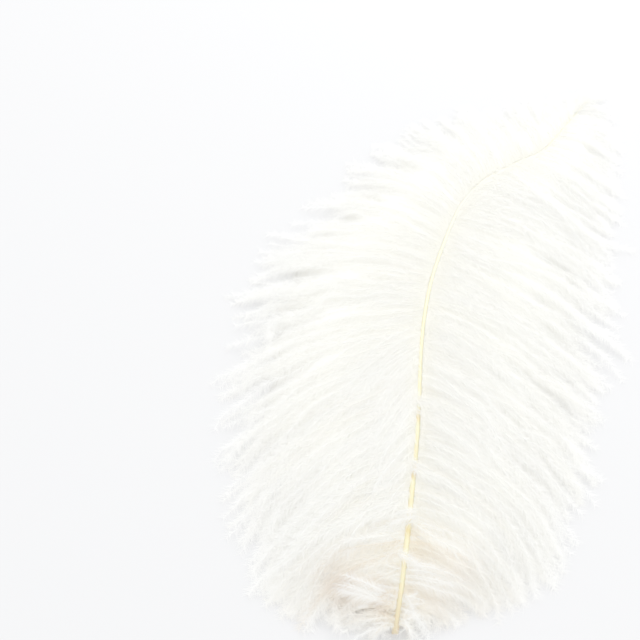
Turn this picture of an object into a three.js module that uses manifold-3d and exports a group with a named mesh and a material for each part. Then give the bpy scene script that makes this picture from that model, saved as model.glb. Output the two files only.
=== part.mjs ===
// An ostrich plume that lies on a flat surface with its outer side up. Millimetres, +Z up.
// The cut quill end points to -Y and the tip to +Y. The lock tips touch Z = 0.
// It grew as one piece, so the shaft and the locks of barbs on both sides are one solid.
import * as THREE from "three";
import { mergeVertices } from "three/addons/utils/BufferGeometryUtils.js";
import Module from "manifold-3d";

// Centreline of the shaft from the quill end to the tip. It bends to the right above its middle.
const shaftLine = [
  [-23.0, -135.6, 1.6],
  [-19.5, -114.4, 4.9],
  [-15.6, -86.0, 8.4],
  [-12.4, -61.7, 10.4],
  [-10.5, -39.9, 11.2],
  [-8.1, -13.7, 11.3],
  [-3.5, 11.8, 10.7],
  [4.1, 35.8, 9.6],
  [13.5, 58.5, 8.2],
  [25.6, 73.8, 6.9],
  [40.6, 84.3, 5.7],
  [55.1, 93.9, 4.3],
  [67.4, 110.3, 2.9],
  [81.6, 129.5, 1.0],
];

// Width of the shaft: [share of its length, width].
const shaftWidth = [
  [0.0, 2.7],
  [0.04, 3.1],
  [0.14, 3.3],
  [0.25, 2.8],
  [0.45, 2.3],
  [0.65, 1.8],
  [0.85, 1.1],
  [1.0, 0.5],
];
const shaftRings = 36;
const shaftSides = 10;
const grooveDepth = 0.45; // of the half width, along the underside
const grooveFull = 0.12; // share of the shaft by which the groove has its full depth
const quillHoleShare = 0.5; // radius of the open quill end over its outer radius
const quillHoleTaper = 0.6; // radius of the hole's bottom over the radius of its mouth
const quillHoleDepth = 4;

// Barbs on each side: [share of the shaft, length, angle to the shaft at the root, angle at the tip].
const rightBarbs = [
  [0.02, 20, 76, 98],
  [0.08, 38, 88, 112],
  [0.14, 55, 92, 136],
  [0.21, 70, 94, 146],
  [0.29, 80, 97, 141],
  [0.37, 86, 101, 133],
  [0.46, 89, 103, 124],
  [0.55, 89, 101, 114],
  [0.61, 87, 93, 104],
  [0.67, 81, 83, 92],
  [0.73, 70, 72, 81],
  [0.79, 57, 64, 74],
  [0.85, 44, 72, 84],
  [0.91, 30, 74, 88],
  [0.96, 18, 54, 66],
  [1.0, 9, 12, 14],
];
const leftBarbs = [
  [0.02, 24, 88, 120],
  [0.08, 47, 102, 136],
  [0.14, 63, 110, 149],
  [0.21, 79, 115, 152],
  [0.29, 91, 118, 148],
  [0.37, 95, 112, 135],
  [0.46, 90, 104, 120],
  [0.55, 78, 88, 104],
  [0.61, 65, 72, 92],
  [0.67, 56, 66, 84],
  [0.73, 49, 68, 80],
  [0.79, 43, 78, 72],
  [0.85, 34, 72, 56],
  [0.91, 24, 56, 44],
  [0.96, 15, 38, 30],
  [1.0, 9, 12, 14],
];

const firstLock = 0.022; // share of the shaft where the locks begin
const locksPerSide = 30;
const columnsPerLock = 3;
const rowsPerLock = 9;
const lockReach = [0.9, 1.0, 0.96]; // length of each column of a lock over the barb length
const reachSpread = 0.05; // how much shorter a lock can be than the barb length
const rootThickShare = 0.36; // thickness of a vane at its root over the width of the shaft
const rootDrop = 0.04; // how far below the shaft's middle the vanes leave it, over its width
const ridgeThick = 3.0;
const valleyThick = 1.1;
const tipThick = 0.7;
const archHeight = 6.5; // how far the longest locks arch above the line from the shaft to their tip
const archLength = 60; // locks shorter than this arch less
const archLean = 0.9; // under 1, the top of the arch is nearer the shaft than the middle of a lock
const rootFall = 1.3; // over 1, a lock loses the height of its root faster near the shaft
const bulgeSpan = 1.1; // over 1, a lock is thin again just before its tip
const layerLift = 1.9; // every second lock lies this much higher than the one between
const rootInset = 0.5; // how far each vane starts across the centreline, inside the shaft
const headingSpan = 0.035; // share of the shaft over which its heading is taken

const radians = THREE.MathUtils.degToRad;
const clamp = THREE.MathUtils.clamp;

// Linear reading of a table whose rows start with the share of the shaft.
function readTable(rows, share, column) {
  const after = rows.findIndex((row) => row[0] >= share);
  if (after <= 0) return rows[after < 0 ? rows.length - 1 : 0][column];
  const [low, high] = [rows[after - 1], rows[after]];
  const mix = (share - low[0]) / (high[0] - low[0]);
  return low[column] + (high[column] - low[column]) * mix;
}

const spine = new THREE.CatmullRomCurve3(
  shaftLine.map((point) => new THREE.Vector3(...point)),
  false,
  "catmullrom",
  0.5,
);
spine.arcLengthDivisions = 1200;

function headingAt(share) {
  const behind = spine.getPointAt(clamp(share - headingSpan, 0, 1));
  const ahead = spine.getPointAt(clamp(share + headingSpan, 0, 1));
  return Math.atan2(ahead.y - behind.y, ahead.x - behind.x);
}

// A repeatable number from 0 to 1 for each lock.
function chance(seed) {
  const wave = Math.sin(seed * 12.9898) * 43758.5453;
  return wave - Math.floor(wave);
}

function geometryOf(points, faces) {
  const geometry = new THREE.BufferGeometry();
  geometry.setAttribute("position", new THREE.Float32BufferAttribute(points, 3));
  geometry.setIndex(faces);
  return geometry;
}

// The shaft: rounded on top, grooved underneath, round and open at the cut quill end.
function shaftGeometry() {
  const points = [];
  const faces = [];

  function addRing(share, scale, pushBack) {
    const centre = spine.getPointAt(share);
    const forward = spine.getTangentAt(share);
    const across = new THREE.Vector3(forward.y, -forward.x, 0).normalize();
    const upward = new THREE.Vector3().crossVectors(across, forward);
    const radius = (readTable(shaftWidth, share, 1) / 2) * scale;
    const groove = grooveDepth * clamp(share / grooveFull, 0, 1);
    for (let side = 0; side < shaftSides; side++) {
      const turn = (side / shaftSides) * 2 * Math.PI + Math.PI / 2;
      const underneath = Math.max(0, -Math.sin(turn));
      const rise = Math.sin(turn) * (1 - groove * underneath ** 4);
      points.push(
        ...centre
          .clone()
          .addScaledVector(across, Math.cos(turn) * radius)
          .addScaledVector(upward, rise * radius)
          .addScaledVector(forward, pushBack)
          .toArray(),
      );
    }
  }

  addRing(0, quillHoleShare * quillHoleTaper, quillHoleDepth);
  addRing(0, quillHoleShare, 0);
  for (let ring = 0; ring <= shaftRings; ring++) addRing(ring / shaftRings, 1, 0);
  const ringCount = shaftRings + 3;

  for (let ring = 0; ring + 1 < ringCount; ring++) {
    for (let side = 0; side < shaftSides; side++) {
      const next = (side + 1) % shaftSides;
      const near = ring * shaftSides;
      const far = near + shaftSides;
      faces.push(near + side, far + next, near + next, near + side, far + side, far + next);
    }
  }
  const lastRing = (ringCount - 1) * shaftSides;
  for (let side = 1; side + 1 < shaftSides; side++) {
    faces.push(0, side, side + 1);
    faces.push(lastRing, lastRing + side + 1, lastRing + side);
  }
  return geometryOf(points, faces);
}

// Middle line of the vane along one barb, as rows of points from the shaft to the tip.
function barbPath(side, share, reach, lift) {
  const table = side > 0 ? rightBarbs : leftBarbs;
  const length = readTable(table, share, 1) * reach;
  const rootAngle = readTable(table, share, 2);
  const tipAngle = readTable(table, share, 3);
  const root = spine.getPointAt(share);
  const heading = headingAt(share);
  const arch = archHeight * Math.min(1, length / archLength);
  const rootHeight = root.z - readTable(shaftWidth, share, 1) * rootDrop - tipThick / 2;
  const start = heading - side * radians(rootAngle);
  let x = root.x - Math.cos(start) * rootInset;
  let y = root.y - Math.sin(start) * rootInset;
  const path = [];
  for (let row = 0; row <= rowsPerLock; row++) {
    const along = row / rowsPerLock;
    const rise = rootHeight * (1 - along) ** rootFall + arch * Math.sin(Math.PI * along ** archLean);
    path.push([x, y, rise + lift * Math.sin(Math.PI * along) + tipThick / 2]);
    const middle = (row + 0.5) / rowsPerLock;
    const angle = heading - side * radians(rootAngle + (tipAngle - rootAngle) * middle);
    x += (Math.cos(angle) * length) / rowsPerLock;
    y += (Math.sin(angle) * length) / rowsPerLock;
  }
  return path;
}

// One vane as a sheet of locks. Each lock is thick in its middle, thin at its sides and pointed at its tip.
function vaneGeometry(side) {
  const columns = locksPerSide * columnsPerLock;
  const rows = rowsPerLock + 1;
  const points = [];
  const faces = [];

  for (let column = 0; column <= columns; column++) {
    const share = firstLock + ((1 - firstLock) * column) / columns;
    const lock = Math.floor(column / columnsPerLock);
    const place = column % columnsPerLock;
    const inValley = place === 0;
    const shorter = inValley ? reachSpread : reachSpread * chance(lock * 2 + side);
    const reach = lockReach[place] - shorter;
    const lift = inValley ? 0 : (lock % 2 ? 1 : -1) * layerLift;
    const rootThick = readTable(shaftWidth, share, 1) * rootThickShare;
    const middleThick = inValley ? valleyThick : ridgeThick;
    barbPath(side, share, reach, lift).forEach(([x, y, z], row) => {
      const along = row / rowsPerLock;
      const bulge = Math.sin(Math.PI * Math.min(1, along * bulgeSpan));
      const edge = rootThick + (tipThick - rootThick) * along;
      const half = Math.min(edge + (middleThick - edge) * bulge, 2 * z) / 2;
      points.push(x, y, z + half, x, y, z - half);
    });
  }

  const top = (column, row) => 2 * (column * rows + row);
  const under = (column, row) => top(column, row) + 1;
  function addQuad(a, b, c, d) {
    if (side > 0) faces.push(a, b, c, a, c, d);
    else faces.push(a, c, b, a, d, c);
  }
  for (let column = 0; column < columns; column++) {
    const next = column + 1;
    for (let row = 0; row < rowsPerLock; row++) {
      const out = row + 1;
      addQuad(top(column, row), top(column, out), top(next, out), top(next, row));
      addQuad(under(column, row), under(next, row), under(next, out), under(column, out));
    }
    addQuad(top(column, 0), top(next, 0), under(next, 0), under(column, 0));
    addQuad(
      top(column, rowsPerLock),
      under(column, rowsPerLock),
      under(next, rowsPerLock),
      top(next, rowsPerLock),
    );
  }
  for (let row = 0; row < rowsPerLock; row++) {
    const out = row + 1;
    addQuad(top(0, row), under(0, row), under(0, out), top(0, out));
    addQuad(top(columns, row), top(columns, out), under(columns, out), under(columns, row));
  }
  return geometryOf(points, faces);
}

const wasm = await Module();
wasm.setup();

function solidOf(geometry) {
  const merged = mergeVertices(geometry, 1e-4);
  const vertProperties = new Float32Array(merged.attributes.position.array);
  const triVerts = new Uint32Array(merged.index.array);
  return new wasm.Manifold(new wasm.Mesh({ numProp: 3, vertProperties, triVerts }));
}

function geometryFromSolid(solid) {
  const mesh = solid.getMesh();
  const points = [];
  for (let vertex = 0; vertex < mesh.numVert; vertex++) {
    const start = vertex * mesh.numProp;
    points.push(...mesh.vertProperties.subarray(start, start + 3));
  }
  const geometry = geometryOf(points, Array.from(mesh.triVerts));
  geometry.computeVertexNormals();
  return geometry;
}

const shaft = solidOf(shaftGeometry());
const rightVane = solidOf(vaneGeometry(1));
const leftVane = solidOf(vaneGeometry(-1));
const plume = shaft.add(rightVane).add(leftVane);

const featherSurface = new THREE.MeshStandardMaterial({ color: "#f6f1e2", roughness: 0.75, metalness: 0 });
const feather = new THREE.Mesh(geometryFromSolid(plume), featherSurface);
feather.name = "feather";

const group = new THREE.Group();
group.add(feather);
export default group;
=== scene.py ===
# A white ostrich plume lying on a pale surface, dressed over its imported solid. Metres, +Z up.
# +Y runs from the quill end to the tip. Shapes are worked out in millimetres and scaled once, in makePiece.
import math

import bmesh
import bpy
import numpy as np
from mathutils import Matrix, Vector


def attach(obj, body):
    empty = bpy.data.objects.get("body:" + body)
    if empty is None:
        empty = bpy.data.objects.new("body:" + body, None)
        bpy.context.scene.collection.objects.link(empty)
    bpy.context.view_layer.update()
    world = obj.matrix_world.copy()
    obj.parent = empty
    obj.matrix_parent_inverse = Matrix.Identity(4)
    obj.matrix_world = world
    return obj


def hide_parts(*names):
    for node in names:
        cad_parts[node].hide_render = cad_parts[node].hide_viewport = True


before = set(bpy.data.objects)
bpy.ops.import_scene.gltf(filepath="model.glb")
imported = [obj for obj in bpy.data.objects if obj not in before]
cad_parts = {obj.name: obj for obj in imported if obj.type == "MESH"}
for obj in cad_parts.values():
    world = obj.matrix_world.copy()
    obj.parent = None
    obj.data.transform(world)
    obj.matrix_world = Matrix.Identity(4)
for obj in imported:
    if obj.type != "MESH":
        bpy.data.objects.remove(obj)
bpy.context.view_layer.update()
print("frame loaded")

millimetre = 0.001

# Centreline of the shaft from the quill end to the tip, as the solid has it.
shaftLine = np.array([
    [-23.0, -135.6, 1.6],
    [-19.5, -114.4, 4.9],
    [-15.6, -86.0, 8.4],
    [-12.4, -61.7, 10.4],
    [-10.5, -39.9, 11.2],
    [-8.1, -13.7, 11.3],
    [-3.5, 11.8, 10.7],
    [4.1, 35.8, 9.6],
    [13.5, 58.5, 8.2],
    [25.6, 73.8, 6.9],
    [40.6, 84.3, 5.7],
    [55.1, 93.9, 4.3],
    [67.4, 110.3, 2.9],
    [81.6, 129.5, 1.0],
])

# Width of the shaft: [share of its length, width].
shaftWidth = np.array([
    [0.0, 2.7],
    [0.04, 3.1],
    [0.14, 3.3],
    [0.25, 2.8],
    [0.45, 2.3],
    [0.65, 1.8],
    [0.85, 1.1],
    [1.0, 0.5],
])

# Barbs on each side: [share of the shaft, length, angle to the shaft at the root, angle at the tip].
rightBarbs = np.array([
    [0.02, 20, 76, 98],
    [0.08, 38, 88, 112],
    [0.14, 55, 92, 136],
    [0.21, 70, 94, 146],
    [0.29, 80, 97, 141],
    [0.37, 86, 101, 133],
    [0.46, 89, 103, 124],
    [0.55, 89, 101, 114],
    [0.61, 87, 93, 104],
    [0.67, 81, 83, 92],
    [0.73, 70, 72, 81],
    [0.79, 57, 64, 74],
    [0.85, 44, 72, 84],
    [0.91, 30, 74, 88],
    [0.96, 18, 54, 66],
    [1.0, 9, 12, 14],
])
leftBarbs = np.array([
    [0.02, 24, 88, 120],
    [0.08, 47, 102, 136],
    [0.14, 63, 110, 149],
    [0.21, 79, 115, 152],
    [0.29, 91, 118, 148],
    [0.37, 95, 112, 135],
    [0.46, 90, 104, 120],
    [0.55, 78, 88, 104],
    [0.61, 65, 72, 92],
    [0.67, 56, 66, 84],
    [0.73, 49, 68, 80],
    [0.79, 43, 78, 72],
    [0.85, 34, 72, 56],
    [0.91, 24, 56, 44],
    [0.96, 15, 38, 30],
    [1.0, 9, 12, 14],
])

barbTable = {1: rightBarbs, -1: leftBarbs}  # by side: 1 is right, -1 is left

# The form of every barb. Lengths in mm.
vane = {
    "firstShare": 0.022,
    "lastShare": 0.999,
    "steps": 18,
    "archHeight": 6.5,
    "archLength": 60,
    "archLean": 0.9,
    "liftLean": 0.8,
    "rootFall": 1.3,
    "rootRise": 0.66,
    "rootOut": 0.6,
    "hookPower": 5,
    "lowest": 0.45,
    "floorSoft": 0.5,
    "settleFrom": 12.5,
    "settleOver": 3.5,
    "rootRadius": 0.15,
    "tipRadius": 0.035,
    "radiusFall": 0.8,
}

# Barbules: lengths in mm, angles in degrees, and the tables hold [share of the barb, value].
barbules = {
    "start": 0.004,
    "span": 0.991,
    "perMm": 9.5,
    "length": 5.4,
    "width": 0.13,
    "splay": 34,
    "lean": 42,
    "fewest": 4,
    "reach": (0.65, 1.1),
    "droop": 0.06,
    "taper": np.array([[0, 0.7], [0.04, 0.9], [0.2, 1], [0.9, 1.05], [1, 0.75]]),
    "leanSpread": np.array([[0, 9], [0.6, 12], [1, 20]]),
    "rootLean": np.array([[0, 28], [0.02, 22], [0.05, 0]]),
}

# Waves along the barbs: lengths in mm, amounts as a share of the size that the caller gives.
waves = {
    "lengths": (18, 46),
    "amounts": (0.3, 1),
    "ownShare": 0.55,
    "growth": 0.7,
    "bobPace": 0.8,
    "bobShare": 0.3,
}

mapName = "OFBake"
mapMargin = 0.001
sliver = 0.004  # half the width that a barb or barbule has in the map
toneSliver = 0.01


def splinePoints(line, count):
    padded = np.vstack([2 * line[0] - line[1], line, 2 * line[-1] - line[-2]])
    spans = len(line) - 1
    place = np.linspace(0, spans, count)
    index = np.minimum(place.astype(int), spans - 1)
    w = (place - index)[:, None]
    a, b, c, d = (padded[index + k] for k in range(4))
    return b + 0.5 * w * (c - a + w * (2 * a - 5 * b + 4 * c - d + w * (3 * (b - c) + d - a)))


shaftSamples = 1200
shaftPoints = splinePoints(shaftLine, shaftSamples)
shaftArc = np.r_[0, np.cumsum(np.linalg.norm(np.diff(shaftPoints, axis=0), axis=1))]
shaftShare = shaftArc / shaftArc[-1]


def shaftAt(share):
    return np.stack([np.interp(share, shaftShare, shaftPoints[:, k]) for k in range(3)], -1)


def headingAt(share, span=0.035):
    d = shaftAt(np.minimum(1, share + span)) - shaftAt(np.maximum(0, share - span))
    return np.arctan2(d[..., 1], d[..., 0])


def readTable(table, share, column):
    return np.interp(share, table[:, 0], table[:, column])


def unit(v):
    return v / np.maximum(np.linalg.norm(v, axis=-1, keepdims=True), 1e-9)


# Centrelines of many barbs at once, as an array of barbs by steps by 3.
def barbLines(side, share, length, rootAngle, tipAngle, lift, hook, rootOut=vane["rootOut"], rootLift=0.0):
    steps = vane["steps"]
    root = shaftAt(share)
    heading = headingAt(share)
    half = readTable(shaftWidth, share, 1) / 2
    arch = vane["archHeight"] * np.minimum(1, length / vane["archLength"])
    middle = (np.arange(steps) + 0.5) / steps
    curl = hook[:, None] * middle ** vane["hookPower"]
    bend = rootAngle[:, None] + (tipAngle - rootAngle)[:, None] * middle + curl
    angle = heading[:, None] - side * np.radians(bend)
    move = np.stack([np.cos(angle), np.sin(angle)], -1) * (length / steps)[:, None, None]
    start = heading - side * math.pi / 2
    base = root[:, :2] + np.stack([np.cos(start), np.sin(start)], -1) * (half * rootOut)[:, None]
    flat = base[:, None, :] + np.concatenate([np.zeros_like(move[:, :1]), np.cumsum(move, axis=1)], axis=1)
    along = np.linspace(0, 1, steps + 1)
    rootHeight = root[:, 2] + half * vane["rootRise"] + rootLift
    rise = rootHeight[:, None] * (1 - along) ** vane["rootFall"]
    rise = rise + arch[:, None] * np.sin(math.pi * along ** vane["archLean"])
    rise = rise + lift[:, None] * np.sin(math.pi * along ** vane["liftLean"]) + vane["lowest"]
    return np.concatenate([flat, rise[..., None]], -1)


# Bends each line to and fro: lines of one clump share most of the bend.
def addWaves(lines, length, clump, rng, size):
    along = np.linspace(0, 1, lines.shape[1])
    growing = along ** waves["growth"]
    across = unit(np.cross(unit(np.gradient(lines, axis=1)), [0, 0, 1]))
    own = np.arange(len(lines))
    for pick, strength in ((clump, size), (own, size * waves["ownShare"])):
        drawn = pick.max() + 1
        waveLength = rng.uniform(*waves["lengths"], drawn)[pick]
        phase = rng.uniform(0, 2 * math.pi, drawn)[pick][:, None]
        amount = (strength * rng.uniform(*waves["amounts"], drawn))[pick][:, None]
        turn = 2 * math.pi * (length / waveLength)[:, None] * along
        swing = (np.sin(turn + phase) - np.sin(phase)) * amount * growing
        bob = (np.cos(turn * waves["bobPace"] + phase) - np.cos(phase)) * amount * growing * waves["bobShare"]
        lines = lines + across * swing[..., None]
        lines[..., 2] += bob
    return lines


# Frames along each line: tangent, across in the surface, and out of the surface.
def framesOf(lines):
    tangent = unit(np.gradient(lines, axis=1))
    across = unit(np.cross(tangent, [0, 0, 1]))
    outward = np.cross(across, tangent)
    return tangent, across, outward


# Three-sided tubes along the lines, with one radius for each ring.
def tubeArrays(lines, tone, radius):
    n, rings, _ = lines.shape
    _, across, outward = framesOf(lines)
    along = np.linspace(0, 1, rings)
    wide = across * radius[None, :, None]
    high = outward * radius[None, :, None]
    turns = np.arange(3) * 2 * math.pi / 3 + math.pi / 2
    ringPoints = [lines + wide * math.cos(t) + high * math.sin(t) for t in turns]
    points = np.stack(ringPoints, 2).reshape(-1, 3)
    first = (np.arange(n)[:, None] * rings + np.arange(rings - 1)[None, :])[..., None] * 3
    side = np.arange(3)
    a = first + side
    b = first + (side + 1) % 3
    c, d = a + 3, b + 3
    faces = np.concatenate([np.stack([a, b, d], -1), np.stack([a, d, c], -1)], 2).reshape(-1, 3)
    u = np.repeat(np.tile(along, n), 3)
    v = np.repeat(tone, rings * 3) + np.tile([-sliver, sliver, 0.0], n * rings)
    return points, faces, np.stack([u, v], -1)


# Barbules as slim triangles on both sides of the lines, swept towards the tips.
def barbuleArrays(lines, length, tone, rng, look, thinning):
    n, rings, _ = lines.shape
    tangent, across, outward = framesOf(lines)
    counts = np.maximum(look["fewest"], (length * look["perMm"] * thinning).astype(int))
    owner = np.repeat(np.arange(n), counts)
    firstOf = np.r_[0, np.cumsum(counts)[:-1]]
    order = np.arange(len(owner)) - firstOf[owner]
    along = look["start"] + look["span"] * (order + rng.uniform(0, 1, len(owner))) / counts[owner]
    place = along * (rings - 1)
    low = np.minimum(place.astype(int), rings - 2)
    w = (place - low)[:, None]

    def at(values):
        return values[owner, low] * (1 - w) + values[owner, low + 1] * w

    base, t, s, o = at(lines), unit(at(tangent)), unit(at(across)), unit(at(outward))
    side = np.where(order % 2, 1.0, -1.0)[:, None]
    roll = np.radians(rng.normal(0, look["splay"], len(owner)))[:, None]
    spread = rng.normal(0, 1, len(owner)) * readTable(look["leanSpread"], along, 1)
    lean = np.radians(look["lean"] + spread + readTable(look["rootLean"], along, 1))[:, None]
    direction = t * np.cos(lean) + (s * side * np.cos(roll) + o * np.sin(roll)) * np.sin(lean)
    taper = readTable(look["taper"], along, 1)
    reach = (look["length"] * taper * rng.uniform(*look["reach"], len(owner)))[:, None]
    tip = base + direction * reach
    tip[:, 2] -= look["droop"] * reach[:, 0] ** 2
    half = t * (look["width"] / 2)
    points = np.stack([base - half, base + half, tip], 1).reshape(-1, 3)
    flip = (side[:, 0] > 0)[:, None]
    index = np.arange(len(owner))[:, None] * 3
    faces = np.where(flip, index + [0, 2, 1], index + [0, 1, 2])
    u = np.repeat(along, 3) + np.tile([-sliver, sliver, 0.0], len(owner))
    v = np.repeat(tone[owner], 3) + np.tile([0.0, 0.0, toneSliver], len(owner))
    return points, faces, np.stack([u, v], -1)


def joinArrays(parts):
    points, faces, maps, start = [], [], [], 0
    for p, f, m in parts:
        points.append(p)
        faces.append(f + start)
        maps.append(m)
        start += len(p)
    return np.concatenate(points), np.concatenate(faces), np.concatenate(maps)


# What would lie under the surface is pressed just above it.
def pressUp(points):
    soft = vane["floorSoft"]
    pressed = points.copy()
    low = points[:, 2] < soft
    pressed[low, 2] = soft * np.exp((points[low, 2] - soft) / soft)
    return pressed


def makePiece(name, arrays, material):
    points, faces, uv = arrays
    points = pressUp(points)
    mesh = bpy.data.meshes.new(name)
    mesh.vertices.add(len(points))
    mesh.vertices.foreach_set("co", (points * millimetre).astype(np.float32).ravel())
    mesh.loops.add(len(faces) * 3)
    mesh.loops.foreach_set("vertex_index", faces.astype(np.int32).ravel())
    mesh.polygons.add(len(faces))
    mesh.polygons.foreach_set("loop_start", np.arange(0, len(faces) * 3, 3, dtype=np.int32))
    mesh.update(calc_edges=True)
    layer = mesh.uv_layers.new(name=mapName)
    uv = np.clip(uv, mapMargin, 1 - mapMargin)
    layer.data.foreach_set("uv", uv[faces.ravel()].astype(np.float32).ravel())
    mesh.materials.append(material)
    mesh.polygons.foreach_set("use_smooth", np.ones(len(faces), bool))
    piece = bpy.data.objects.new(name, mesh)
    bpy.context.scene.collection.objects.link(piece)
    dress(piece)
    print(name, len(faces), "triangles")


def dress(piece):
    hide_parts("feather")
    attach(piece, "root")


# Materials. The map runs along the barb or shaft one way. The other way it holds the barb's tone, or the
# turn round the shaft.
def newMaterial(name):
    material = bpy.data.materials.new(name)
    material.use_nodes = True
    return material, material.node_tree.nodes, material.node_tree.links


def addRamp(nodes, links, source, stops):
    ramp = nodes.new("ShaderNodeValToRGB")
    ramp.color_ramp.elements[0].position = stops[0][0]
    ramp.color_ramp.elements[0].color = (*stops[0][1], 1)
    ramp.color_ramp.elements[1].position = stops[-1][0]
    ramp.color_ramp.elements[1].color = (*stops[-1][1], 1)
    for position, colour in stops[1:-1]:
        ramp.color_ramp.elements.new(position).color = (*colour, 1)
    links.new(source, ramp.inputs["Fac"])
    return ramp.outputs["Color"]


def mapSplit(nodes, links):
    uvMap = nodes.new("ShaderNodeUVMap")
    uvMap.uv_map = mapName
    split = nodes.new("ShaderNodeSeparateXYZ")
    links.new(uvMap.outputs["UV"], split.inputs["Vector"])
    return uvMap, split


def addMix(nodes, links, first, second, kind="MULTIPLY", factor=None):
    mix = nodes.new("ShaderNodeMix")
    mix.data_type = "RGBA"
    mix.blend_type = kind
    mix.inputs["Factor"].default_value = 1
    links.new(first, mix.inputs["A"])
    links.new(second, mix.inputs["B"])
    if factor:
        links.new(factor, mix.inputs["Factor"])
    return mix.outputs["Result"]


# Tone 0 is tan, painted shade. The lower tones are warm: painted warm shade on the warm barbs beside the
# base, a tone that differs at random on the rest. The upper ones are white.
def makeBarbMaterial(name, dullest, whitest, rimPaintedShade=1.0):
    material, nodes, links = newMaterial(name)
    shader = nodes["Principled BSDF"]
    _, split = mapSplit(nodes, links)
    silk = addRamp(nodes, links, split.outputs["X"], [
        (0.0, (0.985, 0.978, 0.92)),
        (0.1, (0.989, 0.985, 0.95)),
        (0.45, (0.992, 0.991, 0.967)),
        (1.0, (0.994, 0.993, 0.978)),
    ])
    warm = addRamp(nodes, links, split.outputs["X"], [
        (0.0, (0.93, 0.86, 0.70)),
        (0.2, (0.95, 0.905, 0.80)),
        (0.5, (0.95, 0.915, 0.85)),
        (0.75, (0.972, 0.955, 0.915)),
        (1.0, (0.98, 0.97, 0.945)),
    ])
    silkShare = addRamp(nodes, links, split.outputs["Y"], [(0.1, (0, 0, 0)), (0.5, (1, 1, 1))])
    tones = addRamp(nodes, links, split.outputs["Y"], [
        (0.0, (0.90, 0.84, 0.76)),
        (0.08, dullest),
        (0.3, dullest),
        (0.9, whitest),
    ])
    colour = addMix(nodes, links, warm, silk, "MIX", silkShare)
    colour = addMix(nodes, links, colour, tones)
    # Darker towards the outer ends: painted shade, used on the web sheet.
    paintedRim = addRamp(nodes, links, split.outputs["X"], [(0.5, (1, 1, 1)), (0.75, (rimPaintedShade,) * 3)])
    colour = addMix(nodes, links, colour, paintedRim)
    links.new(colour, shader.inputs["Base Color"])
    shader.inputs["Roughness"].default_value = 0.55
    shader.inputs["Specular IOR Level"].default_value = 0.3
    return material


def makeShaftMaterial():
    material, nodes, links = newMaterial("shaft horn")
    shader = nodes["Principled BSDF"]
    uvMap, split = mapSplit(nodes, links)
    alongColour = addRamp(nodes, links, split.outputs["X"], [
        (0.0, (0.66, 0.55, 0.36)),
        (0.02, (0.84, 0.72, 0.46)),
        (0.07, (0.94, 0.87, 0.56)),
        (0.22, (0.98, 0.92, 0.60)),
        (0.42, (0.985, 0.94, 0.64)),
        (0.58, (0.985, 0.95, 0.74)),
        (0.68, (0.985, 0.975, 0.90)),
        (0.82, (0.985, 0.975, 0.90)),
        (0.88, (0.98, 0.955, 0.80)),
        (1.0, (0.98, 0.965, 0.87)),
    ])
    stretch = nodes.new("ShaderNodeMapping")
    stretch.inputs["Scale"].default_value = (6, 40, 1)
    links.new(uvMap.outputs["UV"], stretch.inputs["Vector"])
    streaks = nodes.new("ShaderNodeTexNoise")
    streaks.inputs["Scale"].default_value = 1.0
    streaks.inputs["Detail"].default_value = 3
    links.new(stretch.outputs["Vector"], streaks.inputs["Vector"])
    streakColour = addRamp(nodes, links, streaks.outputs["Fac"], [
        (0.3, (0.90, 0.86, 0.78)),
        (0.6, (1.0, 1.0, 1.0)),
    ])
    # Round the shaft: the paler flanks are painted light against the shade where the barb roots meet them;
    # the top is yellower and the underside darker.
    aroundPaintedLight = addRamp(nodes, links, split.outputs["Y"], [
        (0.0, (0.97, 0.955, 0.89)),
        (0.12, (0.985, 0.975, 0.93)),
        (0.25, (1.0, 0.99, 0.96)),
        (0.5, (0.9, 0.87, 0.8)),
        (0.75, (1.0, 0.99, 0.96)),
        (0.88, (0.985, 0.975, 0.93)),
        (1.0, (0.97, 0.955, 0.89)),
    ])
    # Darker bands just below the wisps that cross the shaft: painted shadows of those wisps.
    wispShadowBands = addRamp(nodes, links, split.outputs["X"], [
        (0.118, (1, 1, 1)),
        (0.13, (0.88, 0.78, 0.56)),
        (0.142, (0.97, 0.94, 0.86)),
        (0.195, (1, 1, 1)),
        (0.207, (0.90, 0.76, 0.52)),
        (0.22, (0.97, 0.94, 0.86)),
        (0.275, (1, 1, 1)),
        (0.286, (0.93, 0.82, 0.60)),
        (0.3, (1, 1, 1)),
    ])
    colour = addMix(nodes, links, alongColour, streakColour)
    colour = addMix(nodes, links, colour, aroundPaintedLight)
    colour = addMix(nodes, links, colour, wispShadowBands)
    links.new(colour, shader.inputs["Base Color"])
    shader.inputs["Roughness"].default_value = 0.32
    shader.inputs["Subsurface Weight"].default_value = 0.15
    shader.inputs["Subsurface Scale"].default_value = 0.002
    return material


# The shaft, as one ring pulled along the centreline.
shaftLook = {
    "rings": 150,
    "sides": 18,
    "grooveDepth": 0.45,
    "grooveFull": 0.12,
    "grooveSharpness": 4,
    "holeScale": 0.55,
    "holeTaper": 0.5,
    "holeDepth": 4.0,
    "holeRim": 0.3,
    "lipScale": 0.86,
    "lipShare": 0.001,
    "headingSpan": 0.002,
}


def shaftRing(share, scale, pushIn=0.0):
    centre = shaftAt(np.array(share))
    span = shaftLook["headingSpan"]
    forward = unit(shaftAt(np.array(min(1, share + span))) - shaftAt(np.array(max(0, share - span))))
    across = unit(np.array([forward[1], -forward[0], 0.0]))
    upward = np.cross(across, forward)
    radius = readTable(shaftWidth, share, 1) / 2 * scale
    groove = shaftLook["grooveDepth"] * min(1, share / shaftLook["grooveFull"])
    turn = np.arange(shaftLook["sides"]) / shaftLook["sides"] * 2 * math.pi + math.pi / 2
    under = np.maximum(0, -np.sin(turn)) ** shaftLook["grooveSharpness"]
    rise = np.sin(turn) * (1 - groove * under)
    ring = centre + forward * pushIn
    ring = ring + radius * (np.cos(turn)[:, None] * across + rise[:, None] * upward)
    return ring * millimetre


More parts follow.
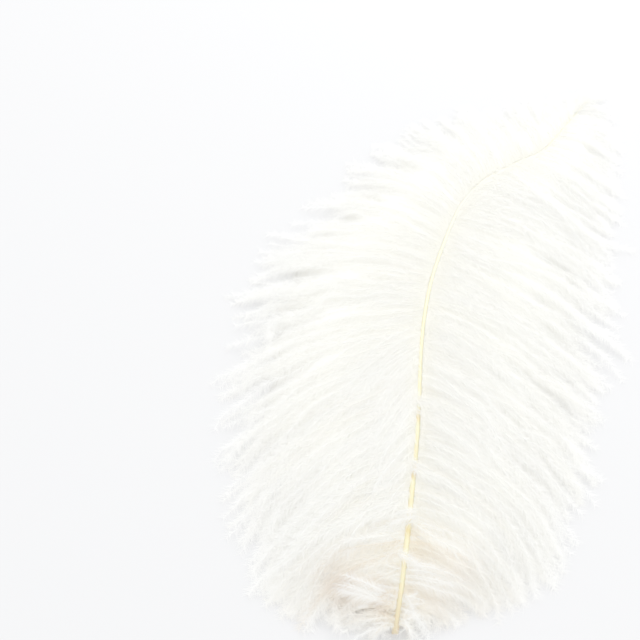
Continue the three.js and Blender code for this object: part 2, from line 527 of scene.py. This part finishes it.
# Each ring: share of the shaft, scale, and how far it is pushed into the shaft. The hole comes first.
def shaftRings():
    hole = shaftLook["holeScale"]
    count = shaftLook["rings"]
    rings = [
        (0.0, hole * shaftLook["holeTaper"], shaftLook["holeDepth"]),
        (0.0, hole, shaftLook["holeRim"]),
        (0.0, shaftLook["lipScale"], 0.0),
        (shaftLook["lipShare"], 1.0, 0.0),
    ]
    return rings + [(k / count, 1.0, 0.0) for k in range(1, count + 1)]


def makeShaft(material):
    rings = shaftRings()
    shape = bmesh.new()
    mapLayer = shape.loops.layers.uv.new(mapName)
    made = bmesh.ops.create_circle(shape, cap_ends=False, segments=shaftLook["sides"], radius=1)
    ring = made["verts"]
    for vert, place in zip(ring, shaftRing(*rings[0])):
        vert.co = place
    rounds = [ring]
    for share, scale, pushIn in rings[1:]:
        edges = {e for v in ring for e in v.link_edges if all(w in set(ring) for w in e.verts)}
        pulled = bmesh.ops.extrude_edge_only(shape, edges=list(edges))["geom"]
        new = {v for v in pulled if isinstance(v, bmesh.types.BMVert)}
        following = [next(e.other_vert(v) for e in v.link_edges if e.other_vert(v) in new) for v in ring]
        for vert, place in zip(following, shaftRing(share, scale, pushIn)):
            vert.co = place
        ring = following
        rounds.append(ring)
    for end in (rounds[0], rounds[-1]):
        bmesh.ops.contextual_create(shape, geom=end)
    bmesh.ops.recalc_face_normals(shape, faces=shape.faces[:])
    where = {}
    for k, ringVerts in enumerate(rounds):
        for j, vert in enumerate(ringVerts):
            where[vert] = (rings[k][0], j / shaftLook["sides"])
    for face in shape.faces:
        face.smooth = True
        places = [where[loop.vert] for loop in face.loops]
        wraps = max(p[1] for p in places) - min(p[1] for p in places) > 0.5
        for loop, (u, v) in zip(face.loops, places):
            loop[mapLayer].uv = (u, v + 1 if wraps and v < 0.5 else v)
    mesh = bpy.data.meshes.new("shaft")
    shape.to_mesh(mesh)
    shape.free()
    mesh.materials.append(material)
    piece = bpy.data.objects.new("shaft", mesh)
    bpy.context.scene.collection.objects.link(piece)
    dress(piece)
    print("shaft", len(mesh.polygons), "faces")


# The barbs lie in three layers: an even one underneath, the ordered ones, and looser ones on top of them.
vaneLayers = [
    {
        "count": 200,
        "clumpSizes": (1, 2),
        "reach": (0.86, 1.06),
        "leaveSpread": 4,
        "tipSpread": 7,
        "ownSpread": 6,
        "lift": (-0.9, 0.0),
        "rootLift": (-0.5, -0.2),
        "pull": (0.0, 0.15),
        "hook": (-20, 30),
        "wave": 1.1,
        "steeper": {1: 0, -1: 0},
    },
    {
        "count": 240,
        "clumpSizes": (2, 6),
        "reach": (0.82, 1.04),
        "leaveSpread": 3,
        "tipSpread": 7,
        "ownSpread": 6,
        "lift": (-0.3, 0.3),
        "rootLift": (-0.3, 0.1),
        "pull": (0.0, 0.18),
        "hook": (-5, 16),
        "wave": 1.9,
        "steeper": {1: 4, -1: 6},
    },
    {
        "count": 190,
        "clumpSizes": (2, 4),
        "reach": (0.45, 0.95),
        "leaveSpread": 9,
        "tipSpread": 17,
        "ownSpread": 9,
        "lift": (-0.3, 0.4),
        "rootLift": (-0.1, 0.4),
        "pull": (0.0, 0.4),
        "hook": (-25, 60),
        "wave": 3.4,
        "steeper": {1: 32, -1: 40},
    },
]
# How single barbs differ from their clump.
barbHabits = {
    "ownReach": (0.9, 1.0),
    "shortChance": 0.12,
    "shortReach": (0.65, 0.9),
    "strayChance": 0.05,
    "strayLeave": 6,
    "strayTip": 12,
    "strayLift": (0, 2),
    "strayPull": 0.2,
    "leaveNoise": 1.6,
    "liftNoise": 0.4,
    "pullGrowth": 2.2,
    "steeperWhere": np.array([[0.1, 0.3], [0.2, 1], [0.4, 1], [0.6, 0]]),
}
# How full the vanes are, as [share of the shaft, fullness]: thin beside the base and at the tip.
fullness = {
    1: np.array([[0, 0.8], [0.075, 0.8], [0.085, 0.55], [0.13, 0.6], [0.15, 1], [0.8, 1], [1, 0.5]]),
    -1: np.array([
        [0, 0.6],
        [0.03, 0.5],
        [0.036, 0.05],
        [0.066, 0.05],
        [0.076, 0.8],
        [0.12, 1],
        [0.8, 1],
        [1, 0.5],
    ]),
}
placeGrid = 400
placeNoise = 0.35


def placeShares(side, count, rng):
    grid = np.linspace(vane["firstShare"], vane["lastShare"], placeGrid)
    filled = np.cumsum(readTable(fullness[side], grid, 1))
    filled = (filled - filled[0]) / (filled[-1] - filled[0])
    place = (np.arange(count) + 0.5 + rng.uniform(-placeNoise, placeNoise, count)) / count
    return np.interp(place, filled, grid)


# Barbs stand in small clumps, whose tips draw together.
def clumpNumbers(count, sizes, rng):
    numbers = []
    while len(numbers) < count:
        number = numbers[-1] + 1 if numbers else 0
        numbers += [number] * int(rng.integers(sizes[0], sizes[1] + 1))
    return np.array(numbers[:count])


def layerLines(side, layer, rng):
    habits = barbHabits
    table = barbTable[side]
    count = layer["count"]
    share = placeShares(side, count, rng)
    clump = clumpNumbers(count, layer["clumpSizes"], rng)
    clumps = clump[-1] + 1
    centre = np.array([share[clump == k].mean() for k in range(clumps)])
    clumpReach = rng.uniform(*layer["reach"], clumps)
    clumpLeave = rng.normal(0, layer["leaveSpread"], clumps)
    steeper = layer["steeper"][side] * readTable(habits["steeperWhere"], centre, 1)
    clumpTip = rng.normal(0, layer["tipSpread"], clumps) + steeper
    clumpLift = rng.uniform(*layer["lift"], clumps)
    pull = rng.uniform(*layer["pull"], clumps)
    hook = rng.uniform(*layer["hook"], clumps)

    short = rng.uniform(0, 1, count) < habits["shortChance"]
    ownReach = rng.uniform(*habits["ownReach"], count)
    ownReach = ownReach * np.where(short, rng.uniform(*habits["shortReach"], count), 1)
    stray = rng.uniform(0, 1, count) < habits["strayChance"]
    leave = clumpLeave[clump] + rng.normal(0, habits["leaveNoise"], count)
    leave = leave + np.where(stray, rng.normal(0, habits["strayLeave"], count), 0)
    tip = clumpTip[clump] + rng.normal(0, layer["ownSpread"], count)
    tip = tip + np.where(stray, rng.normal(0, habits["strayTip"], count), 0)
    lift = clumpLift[clump] + rng.normal(0, habits["liftNoise"], count)
    lift = lift + np.where(stray, rng.uniform(*habits["strayLift"], count), 0)
    rootLift = rng.uniform(*layer["rootLift"], count)

    def lines(at, reach, leaveTurn, tipTurn, up, bend, rootUp=0.0):
        length = readTable(table, at, 1) * reach
        rootAngle = readTable(table, at, 2) + leaveTurn
        tipAngle = readTable(table, at, 3) + tipTurn
        return barbLines(side, at, length, rootAngle, tipAngle, up, bend, rootLift=rootUp), length

    own, length = lines(share, clumpReach[clump] * ownReach, leave, tip, lift, hook[clump], rootLift)
    lead, _ = lines(centre, clumpReach, clumpLeave, clumpTip, clumpLift, hook)
    steps = vane["steps"]
    along = np.linspace(0, 1, steps + 1)
    loosened = pull[clump] * np.where(stray, habits["strayPull"], 1.0)
    draw = loosened[:, None] * along ** habits["pullGrowth"]
    place = along * ownReach[:, None] * steps
    low = np.minimum(place.astype(int), steps - 1)
    w = (place - low)[..., None]
    rows = clump[:, None]
    leadAt = lead[rows, low] * (1 - w) + lead[rows, low + 1] * w
    own = own * (1 - draw[..., None]) + leadAt * draw[..., None]
    return share, addWaves(own, length, clump, rng, layer["wave"]), length


# Chance that a barb is one of the warm ones, whose tan is painted warm shade beside the base, as [share of
# the shaft, chance].
warmShade = {
    1: np.array([[0.03, 0.6], [0.05, 0.8], [0.12, 0.8], [0.15, 0.0]]),
    -1: np.array([[0.03, 0.9], [0.07, 0.9], [0.08, 0.4], [0.18, 0.0]]),
}
warmShadeTones = (0.03, 0.25)
lowestTone = np.array([[0.05, 0.3], [0.25, 0.38], [0.5, 0.48], [0.75, 0.7]])  # [share of the shaft, tone]
highestTone = 0.98


def barbTones(side, share, rng):
    warm = readTable(warmShade[side], share, 1)
    tone = rng.uniform(readTable(lowestTone, share, 1), highestTone)
    return np.where(rng.uniform(0, 1, len(share)) < warm, rng.uniform(*warmShadeTones, len(share)), tone)


# Barbs that stand high settle towards the rest.
def settle(lines):
    over = np.maximum(0, lines[..., 2] - vane["settleFrom"])
    room = vane["settleOver"]
    lines[..., 2] += room * (1 - np.exp(-over / room)) - over
    return lines


def fuzzyBarbs(lines, length, tone, rng, thinning=1.0, look=barbules):
    lines = settle(lines)
    along = np.linspace(0, 1, lines.shape[1])
    thicker = vane["rootRadius"] - vane["tipRadius"]
    radius = vane["tipRadius"] + thicker * (1 - along) ** vane["radiusFall"]
    tubes = tubeArrays(lines, tone, radius)
    return joinArrays([tubes, barbuleArrays(lines, length, tone, rng, look, thinning)])


# Places beside the quill end, seen from above, where the barbs get painted tan shade, as in hollows of the
# vane. In mm.
shadeTanPatches = [
    {"x": -43, "y": -120, "radius": 11},
    {"x": -28, "y": -124, "radius": 8},
]


# Inside each patch the tone is pulled towards 0, the painted tan shade.
def addPaintedShade(arrays):
    points, faces, uv = arrays
    for patch in shadeTanPatches:
        away = np.hypot(points[:, 0] - patch["x"], points[:, 1] - patch["y"]) / patch["radius"]
        uv[:, 1] *= 1 - np.exp(-away ** 4)
    return points, faces, uv


tipThinning = np.array([[0, 1], [0.85, 1], [1, 0.6]])  # [share of the shaft, share of the barbules kept]
partNames = ("lower", "middle", "upper")


def makeVane(side, name, seed, material):
    rng = np.random.default_rng(seed)
    layers = [layerLines(side, layer, rng) for layer in vaneLayers]
    share, lines, length = (np.concatenate(parts) for parts in zip(*layers))
    order = np.argsort(share)
    share, lines, length = share[order], lines[order], length[order]
    tone = barbTones(side, share, rng)
    thinning = readTable(tipThinning, share, 1)
    weight = np.cumsum(length * thinning)
    parts = len(partNames)
    part = np.minimum((weight / weight[-1] * parts).astype(int), parts - 1)
    for k, partName in enumerate(partNames):
        mine = part == k
        arrays = fuzzyBarbs(lines[mine], length[mine], tone[mine], rng, thinning[mine])
        makePiece(f"barbs_{name}_{partName}", addPaintedShade(arrays), material)


# The dense web of barbules between the barbs, as one thin sheet under them on each side. Its duller colour
# and darker rim are painted shade.
web = {
    "columns": 260,
    "rows": 16,
    "shares": (0.028, 0.95),
    "reach": (0.68, 0.78),
    "tipReach": np.array([[0, 1], [0.6, 1], [1, 0.6]]),
    "heights": np.array([[0, 1], [0.06, 0.95], [0.2, 0.88], [0.45, 0.8], [0.65, 0.7], [1, 0.6]]),
    "hook": 8,
    "rimFall": 0.35,
    "lowest": 0.2,
    "ridge": 0.25,
    "rootOut": 0.75,
    "thickness": 0.12,
}


def webLines(side, share, rng):
    table = barbTable[side]
    length, rootAngle, tipAngle = (readTable(table, share, column) for column in (1, 2, 3))
    lift = np.zeros(len(share))
    hook = np.full(len(share), float(web["hook"]))
    lowered = -vane["lowest"]
    lines = barbLines(side, share, length, rootAngle, tipAngle, lift, hook, web["rootOut"], lowered)
    lines[..., 2] *= readTable(web["heights"], np.linspace(0, 1, vane["steps"] + 1), 1)
    lines[..., 2] += rng.uniform(-1, 1, len(share))[:, None] * web["ridge"]
    return lines


def makeWeb(side, name, seed, material):
    rng = np.random.default_rng(seed)
    count = web["columns"] + 1
    share = np.linspace(*web["shares"], count)
    lines = webLines(side, share, rng)
    reach = rng.uniform(*web["reach"], count) * readTable(web["tipReach"], share, 1)
    tone = barbTones(side, share, rng)

    shape = bmesh.new()
    mapLayer = shape.loops.layers.uv.new(mapName)
    bmesh.ops.create_grid(shape, x_segments=web["columns"], y_segments=web["rows"], size=1)
    spot = {}
    for vert in shape.verts:
        column = round((vert.co.x + 1) / 2 * web["columns"])
        along = (vert.co.y + 1) / 2 * reach[column]
        place = along * vane["steps"]
        low = min(int(place), vane["steps"] - 1)
        point = lines[column, low] * (low + 1 - place) + lines[column, low + 1] * (place - low)
        point[2] = max(point[2] * min(1, (1 - vert.co.y) / 2 / web["rimFall"]), web["lowest"])
        vert.co = point * millimetre
        spot[vert] = (min(max(along, mapMargin), 1 - mapMargin), tone[column])
    for face in shape.faces:
        face.smooth = True
        for loop in face.loops:
            loop[mapLayer].uv = spot[loop.vert]
    bmesh.ops.solidify(shape, geom=shape.faces[:], thickness=web["thickness"] * millimetre)
    bmesh.ops.recalc_face_normals(shape, faces=shape.faces[:])
    mesh = bpy.data.meshes.new(name)
    shape.to_mesh(mesh)
    shape.free()
    mesh.materials.append(material)
    piece = bpy.data.objects.new(name, mesh)
    bpy.context.scene.collection.objects.link(piece)
    dress(piece)
    print(name, len(mesh.polygons), "faces")


# Single locks that lie over the rest. Each row: side, share of the shaft, spread of the shares, count,
# length in mm, angle to the shaft at the root and at the tip, fan in degrees, lift in mm.
looseLocks = [
    (-1, 0.41, 0.022, 10, 84, 128, 170, 12, 1.3),
    (-1, 0.37, 0.022, 13, 76, 138, 182, 16, 1.4),
    (-1, 0.32, 0.02, 15, 66, 140, 184, 20, 1.6),
    (-1, 0.27, 0.02, 11, 58, 138, 180, 16, 1.4),
    (-1, 0.22, 0.02, 10, 48, 140, 176, 16, 1.4),
    (-1, 0.17, 0.012, 8, 40, 118, 158, 14, 1.5),
    (1, 0.42, 0.02, 9, 80, 106, 158, 12, 1.2),
    (1, 0.36, 0.022, 12, 80, 104, 172, 16, 1.3),
    (1, 0.3, 0.022, 12, 70, 102, 178, 16, 1.4),
    (1, 0.24, 0.02, 10, 58, 98, 176, 16, 1.4),
    (1, 0.19, 0.02, 9, 50, 96, 172, 14, 1.4),
    (1, 0.082, 0.006, 5, 32, 92, 96, 8, 1.4),
    (1, 0.066, 0.005, 4, 36, 86, 92, 7, 1.3),
    (-1, 0.035, 0.008, 8, 42, 76, 94, 10, 1.2),
    (-1, 0.05, 0.005, 4, 26, 100, 70, 22, 1.5),
]
# Wisps that cross over the shaft: they start beyond its far side.
crossingWisps = [
    (1, 0.76, 0.02, 6, 18, 60, 84, 10, 1.2),
    (1, 0.7, 0.02, 6, 20, 66, 92, 10, 1.2),
    (1, 0.305, 0.013, 9, 44, 100, 150, 8, 2.0),
    (1, 0.222, 0.01, 8, 40, 104, 158, 10, 2.0),
    (-1, 0.152, 0.012, 9, 34, 98, 150, 18, 2.0),
    (1, 0.1, 0.004, 4, 28, 108, 122, 14, 2.0),
]
lockStart = {"rootOut": 0.6, "rootLift": 0.4}
wispStart = {"rootOut": -2.6, "rootLift": -0.3}
lockTones = (0.6, 1.0)
# How single barbs differ within a lock.
lockHabits = {
    "firstShare": 0.012,
    "reach": (0.75, 1.0),
    "fanNoise": 2,
    "leaveFan": 0.3,
    "liftNoise": 0.8,
    "hook": (-10, 40),
    "wave": 1.3,
}


def lockLines(lock, start, rng):
    side, middle, spread, count, longest, leave, tip, fan, lift = lock
    habits = lockHabits
    offset = rng.uniform(-1, 1, count)
    share = np.maximum(habits["firstShare"], middle + offset * spread)
    length = longest * rng.uniform(*habits["reach"], count)
    turn = -offset * fan / 2 + rng.normal(0, habits["fanNoise"], count)
    lifts = lift + rng.uniform(-habits["liftNoise"], habits["liftNoise"], count)
    hook = np.full(count, rng.uniform(*habits["hook"]))
    leaves = leave + turn * habits["leaveFan"]
    lines = barbLines(side, share, length, leaves, tip + turn, lifts, hook, **start)
    return addWaves(lines, length, np.zeros(count, int), rng, habits["wave"]), length


def makeLooseLocks(seed, material):
    rng = np.random.default_rng(seed)
    groups = [lockLines(lock, lockStart, rng) for lock in looseLocks]
    groups += [lockLines(wisp, wispStart, rng) for wisp in crossingWisps]
    lines, length = (np.concatenate(parts) for parts in zip(*groups))
    tone = rng.uniform(*lockTones, len(length))
    makePiece("locks_loose", fuzzyBarbs(lines, length, tone, rng), material)


# The down round the quill end, on each side of it.
down = {
    "counts": {1: 54, -1: 76},
    "shares": {1: (0.008, 0.05), -1: (0.008, 0.085)},
    "lengths": {1: (6, 15), -1: (8, 22)},
    "leave": (60, 125),
    "turn": 10,
    "curl": 50,
    "hook": 40,
    "lift": (-0.5, 3),
    "wave": 1.6,
    # Some down barbs are tan: painted shade round the quill end.
    "shadeTanChance": 0.3,
    "shadeTanTone": 0.08,
    "tones": (0.5, 1.0),
    "barbules": {**barbules, "perMm": 12, "length": 3.0, "splay": 60, "lean": 48},
}


def downLines(side, rng):
    count = down["counts"][side]
    share = rng.uniform(*down["shares"][side], count)
    length = rng.uniform(*down["lengths"][side], count)
    leave = rng.uniform(*down["leave"], count)
    tip = leave + rng.normal(down["turn"], down["curl"], count)
    lift = rng.uniform(*down["lift"], count)
    lines = barbLines(side, share, length, leave, tip, lift, rng.normal(0, down["hook"], count))
    return addWaves(lines, length, np.arange(count), rng, down["wave"]), length


def makeDown(seed, material):
    rng = np.random.default_rng(seed)
    parts = []
    for side in (1, -1):
        lines, length = downLines(side, rng)
        count = len(length)
        shadeTan = rng.uniform(0, 1, count) < down["shadeTanChance"]
        tone = np.where(shadeTan, down["shadeTanTone"], rng.uniform(*down["tones"], count))
        parts.append(fuzzyBarbs(lines, length, tone, rng, look=down["barbules"]))
    makePiece("down_base", addPaintedShade(joinArrays(parts)), material)


# The surface, light and camera
surroundings = {
    "floorSize": 6,
    "floorColour": (0.735, 0.737, 0.741, 1),
    "roomColour": (0.985, 0.99, 1.0, 1),
    "roomStrength": 0.93,
    "keyPlace": (0.25, 0.55, 0.6),
    "keyTarget": (0, 0.05, 0),
    "keySize": 0.6,
    "keyPower": 2.2,
}
cameraLook = {
    "target": (-0.0506, 0.002, 0),
    "elevation": 58,
    "distance": 0.5,
    "lens": 65,
    "sensor": 36,
    "clipStart": 0.01,
    "exposure": 0.22,
    "gamma": 1.6,
    "diffuseBounces": 20,
    "allBounces": 24,
}


def makeFloor():
    bpy.ops.mesh.primitive_plane_add(size=surroundings["floorSize"], location=(0, 0, 0))
    floor = bpy.context.object
    floor.name = "floor"
    material, nodes, _ = newMaterial("pale paper")
    shader = nodes["Principled BSDF"]
    shader.inputs["Base Color"].default_value = surroundings["floorColour"]
    shader.inputs["Roughness"].default_value = 0.9
    shader.inputs["Specular IOR Level"].default_value = 0.1
    floor.data.materials.append(material)


def aimAt(thing, target):
    thing.rotation_euler = (Vector(target) - thing.location).to_track_quat("-Z", "Y").to_euler()


def makeRoomLight():
    world = bpy.data.worlds.new("white room")
    world.use_nodes = True
    background = world.node_tree.nodes["Background"]
    background.inputs["Color"].default_value = surroundings["roomColour"]
    background.inputs["Strength"].default_value = surroundings["roomStrength"]
    bpy.context.scene.world = world


def makeKeyLight():
    data = bpy.data.lights.new("key", "AREA")
    data.shape = "SQUARE"
    data.size = surroundings["keySize"]
    data.energy = surroundings["keyPower"]
    light = bpy.data.objects.new("key", data)
    light.location = surroundings["keyPlace"]
    aimAt(light, surroundings["keyTarget"])
    bpy.context.scene.collection.objects.link(light)


def makeCamera():
    data = bpy.data.cameras.new("camera")
    data.sensor_width = cameraLook["sensor"]
    data.lens = cameraLook["lens"]
    data.clip_start = cameraLook["clipStart"]
    camera = bpy.data.objects.new("camera", data)
    target = Vector(cameraLook["target"])
    elevation = math.radians(cameraLook["elevation"])
    away = Vector((0, -math.cos(elevation), math.sin(elevation)))
    camera.location = target + away * cameraLook["distance"]
    aimAt(camera, target)
    bpy.context.scene.collection.objects.link(camera)
    bpy.context.scene.camera = camera


def setView():
    view = bpy.context.scene.view_settings
    view.view_transform = "Standard"
    view.look = "None"
    view.exposure = cameraLook["exposure"]
    view.gamma = cameraLook["gamma"]
    cycles = bpy.context.scene.cycles
    cycles.diffuse_bounces = cameraLook["diffuseBounces"]
    cycles.max_bounces = cameraLook["allBounces"]


seeds = {"rightVane": 11, "leftVane": 23, "rightWeb": 53, "leftWeb": 59, "locks": 37, "down": 41}


def makeScene():
    makeCamera()
    setView()
    makeFloor()
    makeRoomLight()
    makeKeyLight()
    print("surroundings made")
    barbSilk = makeBarbMaterial("barb silk", (0.988, 0.984, 0.965), (1, 1, 1))
    makeShaft(makeShaftMaterial())
    makeVane(1, "right", seeds["rightVane"], barbSilk)
    makeVane(-1, "left", seeds["leftVane"], barbSilk)
    # The web is duller than the barbs and darker at its rim: painted shade of the barbule mass that the sheet
    # stands for.
    shadedWebSilk = makeBarbMaterial("web silk painted shade", (0.90, 0.892, 0.868), (0.95, 0.947, 0.935), 0.83)
    makeWeb(1, "web_right", seeds["rightWeb"], shadedWebSilk)
    makeWeb(-1, "web_left", seeds["leftWeb"], shadedWebSilk)
    makeLooseLocks(seeds["locks"], barbSilk)
    makeDown(seeds["down"], barbSilk)


makeScene()
print("scene made")
